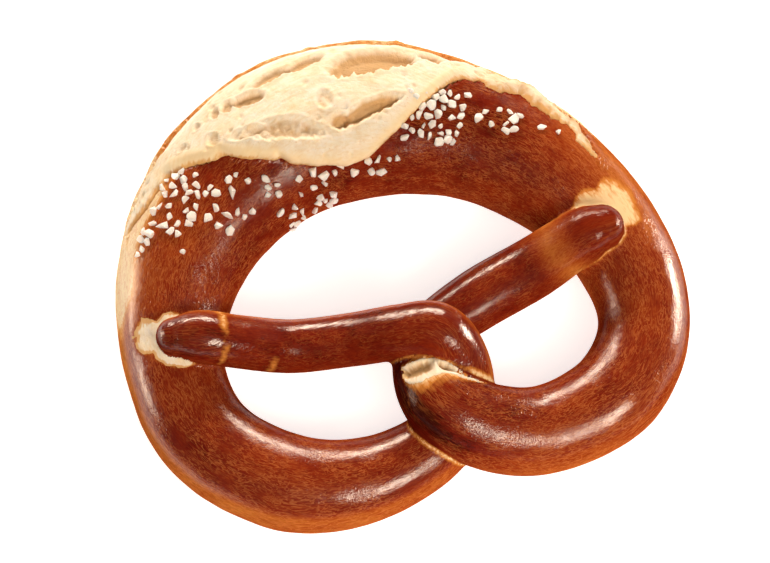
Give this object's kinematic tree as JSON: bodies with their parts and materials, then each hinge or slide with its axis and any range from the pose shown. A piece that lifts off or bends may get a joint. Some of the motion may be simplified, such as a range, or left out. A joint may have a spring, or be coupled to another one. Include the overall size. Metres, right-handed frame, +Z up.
{
  "type": "soft pretzel",
  "caption": "Baked rope of lye dough, fat in the belly and thin at the tips, crossed twice and folded back into a heart-shaped ring, with the belly's crust burst open.",
  "frame": {"origin": "on the tray, in the middle of the pretzel's outline", "axes": "+X from the left loop to the right loop, +Y towards the belly, +Z up from the tray"},
  "size_m": [0.164, 0.141, 0.038],
  "materials": {
    "crust": "glossy red-brown lye crust with a pale torn crumb in the burst and coarse white salt"
  },
  "bodies": {
    "root": {"pretzel": "crust"}
  },
  "joints": []
}
